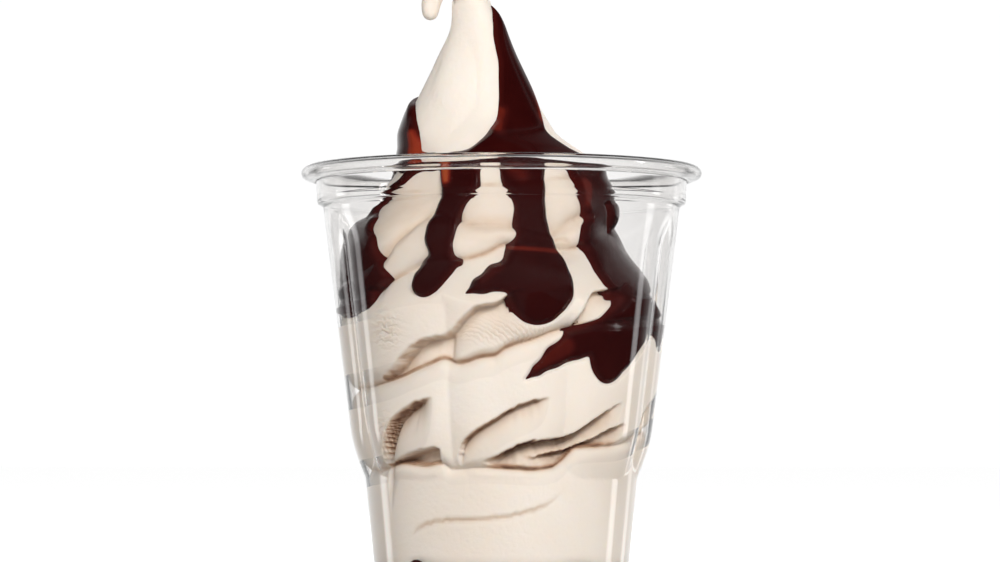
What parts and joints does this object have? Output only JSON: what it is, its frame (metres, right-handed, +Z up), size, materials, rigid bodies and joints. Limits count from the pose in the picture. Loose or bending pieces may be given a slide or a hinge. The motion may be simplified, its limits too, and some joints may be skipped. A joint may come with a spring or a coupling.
{
  "type": "sundae",
  "caption": "Vanilla soft-serve sundae with poured chocolate sauce, coiled up to a hooked peak in a clear fluted cup with a rolled rim.",
  "frame": {"origin": "middle of the cup's foot, on the surface it stands on", "axes": "+Z up the cup; front, as in the picture, towards -Y; +X to the viewer's right, away from the side the tip curls to"},
  "size_m": [0.095, 0.095, 0.1534],
  "materials": {
    "clear_cup": "clear, thin-walled, glossy",
    "ice_cream": "smooth frozen vanilla ice cream, slightly wet",
    "sauce": "glossy thick chocolate sauce"
  },
  "bodies": {
    "root": {"cup": "clear_cup", "base_sauce": "sauce", "soft_serve": "ice_cream", "chocolate_sauce": "sauce"}
  },
  "joints": []
}
